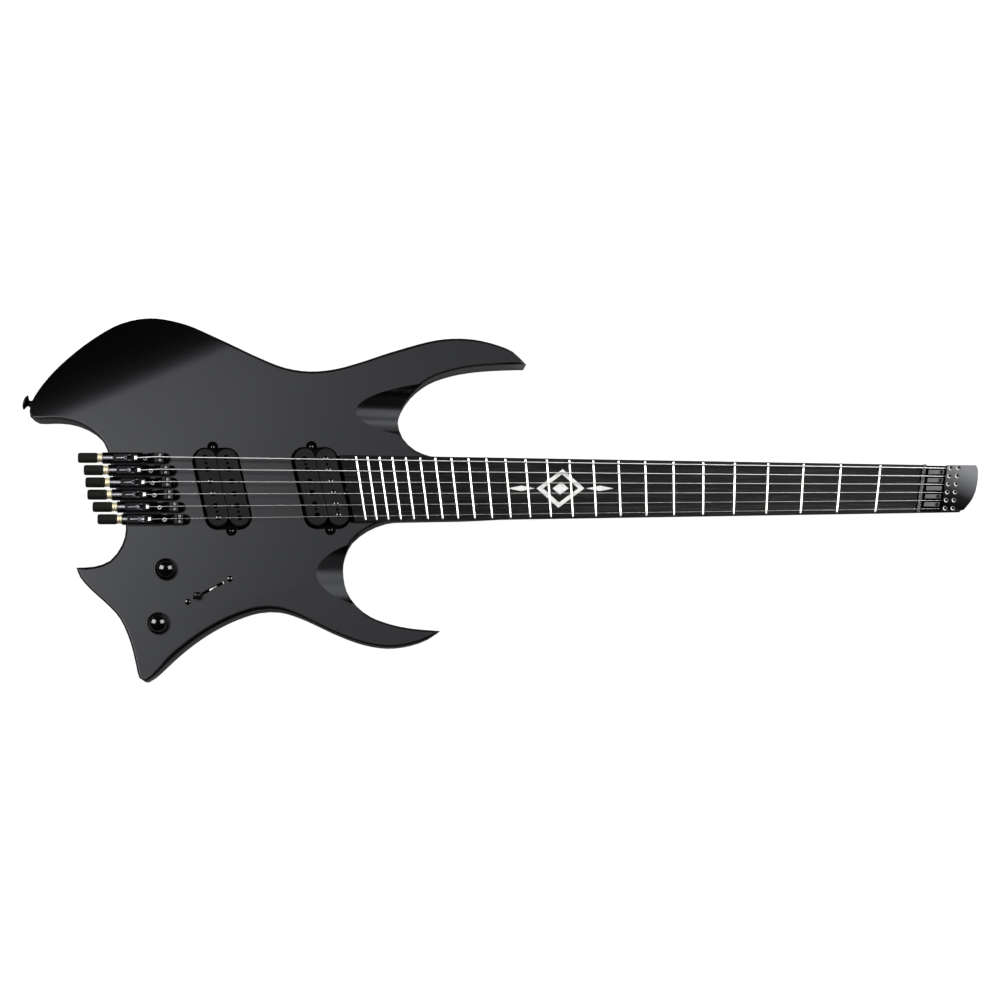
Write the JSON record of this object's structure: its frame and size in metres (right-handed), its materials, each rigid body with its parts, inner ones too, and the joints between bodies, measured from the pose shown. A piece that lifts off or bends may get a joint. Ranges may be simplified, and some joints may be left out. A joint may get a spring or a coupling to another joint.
{
  "type": "headless electric guitar",
  "caption": "Headless solid-body electric guitar lying on its back: fanned frets, slanted pickups, knurled tuners behind single-string bridges, string lock at the neck's end.",
  "frame": {"origin": "on the flat back, under the middle of the bridge line", "axes": "+X along the neck towards its free end, +Y to the bass side, +Z out of the front"},
  "size_m": [0.8399, 0.3188, 0.0552],
  "materials": {
    "body_finish": "satin charcoal over wood",
    "neck_wood": "satin dark wood",
    "fretboard": "near-black wood with bright metal frets",
    "grey_metal": "satin steel grey",
    "strings": "bright plain and wound steel",
    "base_metal": "gloss black",
    "saddle_metal": "gloss black",
    "carriage_metal": "dark grey",
    "knob_metal": "matte dark grey, knurled",
    "washer_brass": "turned",
    "coil_plastic": "matte black",
    "pickup_plate": "black",
    "dial_black": "high gloss black",
    "plain_steel": "plain",
    "switch_steel": "black oxide",
    "lever_black": "black tip on a dark blade",
    "jack_metal": "black",
    "strap_metal": "gloss black",
    "cover_plastic": "matte black"
  },
  "bodies": {
    "guitar": {"body": "body_finish", "neck": "neck_wood", "fretboard": "fretboard", "nut": "grey_metal", "head_lock": "grey_metal", "string_1": "strings", "string_2": "strings", "string_3": "strings", "string_4": "strings", "string_5": "strings", "string_6": "strings", "bridge_base_1": "base_metal", "bridge_base_2": "base_metal", "bridge_base_3": "base_metal", "bridge_base_4": "base_metal", "bridge_base_5": "base_metal", "bridge_base_6": "base_metal", "saddle_1": "saddle_metal", "saddle_2": "saddle_metal", "saddle_3": "saddle_metal", "saddle_4": "saddle_metal", "saddle_5": "saddle_metal", "saddle_6": "saddle_metal", "thrust_washer_1": "washer_brass", "thrust_washer_2": "washer_brass", "thrust_washer_3": "washer_brass", "thrust_washer_4": "washer_brass", "thrust_washer_5": "washer_brass", "thrust_washer_6": "washer_brass", "bridge_coil_rear": "coil_plastic", "bridge_coil_front": "coil_plastic", "neck_coil_rear": "coil_plastic", "neck_coil_front": "coil_plastic", "bridge_pickup_base": "pickup_plate", "neck_pickup_base": "pickup_plate", "volume_pot": "plain_steel", "tone_pot": "plain_steel", "truss_rod": "plain_steel", "switch_body": "switch_steel", "output_jack": "jack_metal", "strap_button_tail": "strap_metal", "strap_button_heel": "strap_metal", "rear_cover": "cover_plastic"},
    "tuner_1": {"tuner_knob_1": "knob_metal"},
    "carriage_1": {"string_carriage_1": "carriage_metal"},
    "tuner_2": {"tuner_knob_2": "knob_metal"},
    "carriage_2": {"string_carriage_2": "carriage_metal"},
    "tuner_3": {"tuner_knob_3": "knob_metal"},
    "carriage_3": {"string_carriage_3": "carriage_metal"},
    "tuner_4": {"tuner_knob_4": "knob_metal"},
    "carriage_4": {"string_carriage_4": "carriage_metal"},
    "tuner_5": {"tuner_knob_5": "knob_metal"},
    "carriage_5": {"string_carriage_5": "carriage_metal"},
    "tuner_6": {"tuner_knob_6": "knob_metal"},
    "carriage_6": {"string_carriage_6": "carriage_metal"},
    "volume": {"volume_knob": "dial_black", "volume_shaft": "plain_steel"},
    "tone": {"tone_knob": "dial_black", "tone_shaft": "plain_steel"},
    "lever": {"switch_lever": "lever_black"}
  },
  "joints": [
    {"name": "tuner_turn_1", "type": "hinge", "parent": "guitar", "child": "tuner_1", "pos_m": [-0.07152, 0.02665, 0.046], "axis": [-1, 0, 0], "range_deg": [0, 2700]},
    {"name": "carriage_slide_1", "type": "slide", "parent": "guitar", "child": "carriage_1", "axis": [1, 0, 0], "range_m": [0, 0.00525]},
    {"name": "tuner_turn_2", "type": "hinge", "parent": "guitar", "child": "tuner_2", "pos_m": [-0.06635, 0.01599, 0.046], "axis": [-1, 0, 0], "range_deg": [0, 2700]},
    {"name": "carriage_slide_2", "type": "slide", "parent": "guitar", "child": "carriage_2", "axis": [1, 0, 0], "range_m": [0, 0.00525]},
    {"name": "tuner_turn_3", "type": "hinge", "parent": "guitar", "child": "tuner_3", "pos_m": [-0.06488, 0.00533, 0.046], "axis": [-1, 0, 0], "range_deg": [0, 2700]},
    {"name": "carriage_slide_3", "type": "slide", "parent": "guitar", "child": "carriage_3", "axis": [1, 0, 0], "range_m": [0, 0.00525]},
    {"name": "tuner_turn_4", "type": "hinge", "parent": "guitar", "child": "tuner_4", "pos_m": [-0.06312, -0.00533, 0.046], "axis": [-1, 0, 0], "range_deg": [0, 2700]},
    {"name": "carriage_slide_4", "type": "slide", "parent": "guitar", "child": "carriage_4", "axis": [1, 0, 0], "range_m": [0, 0.00525]},
    {"name": "tuner_turn_5", "type": "hinge", "parent": "guitar", "child": "tuner_5", "pos_m": [-0.05855, -0.01599, 0.046], "axis": [-1, 0, 0], "range_deg": [0, 2700]},
    {"name": "carriage_slide_5", "type": "slide", "parent": "guitar", "child": "carriage_5", "axis": [1, 0, 0], "range_m": [0, 0.00525]},
    {"name": "tuner_turn_6", "type": "hinge", "parent": "guitar", "child": "tuner_6", "pos_m": [-0.05428, -0.02665, 0.046], "axis": [-1, 0, 0], "range_deg": [0, 2700]},
    {"name": "carriage_slide_6", "type": "slide", "parent": "guitar", "child": "carriage_6", "axis": [1, 0, 0], "range_m": [0, 0.00525]},
    {"name": "volume_turn", "type": "hinge", "parent": "guitar", "child": "volume", "pos_m": [-0.0039, -0.0698, 0.048], "axis": [0, 0, 1], "range_deg": [-150, 150]},
    {"name": "tone_turn", "type": "hinge", "parent": "guitar", "child": "tone", "pos_m": [-0.0102, -0.1165, 0.048], "axis": [0, 0, 1], "range_deg": [-150, 150]},
    {"name": "switch_tilt", "type": "hinge", "parent": "guitar", "child": "lever", "pos_m": [0.0328, -0.0879, 0.019], "axis": [-0.4802, 0.8771, 0], "range_deg": [-11.5, 48.5]}
  ],
  "couplings": [
    {"joint": "tuner_turn_1", "follows": "carriage_slide_1", "rad_per_m": 8976},
    {"joint": "tuner_turn_2", "follows": "carriage_slide_2", "rad_per_m": 8976},
    {"joint": "tuner_turn_3", "follows": "carriage_slide_3", "rad_per_m": 8976},
    {"joint": "tuner_turn_4", "follows": "carriage_slide_4", "rad_per_m": 8976},
    {"joint": "tuner_turn_5", "follows": "carriage_slide_5", "rad_per_m": 8976},
    {"joint": "tuner_turn_6", "follows": "carriage_slide_6", "rad_per_m": 8976}
  ]
}
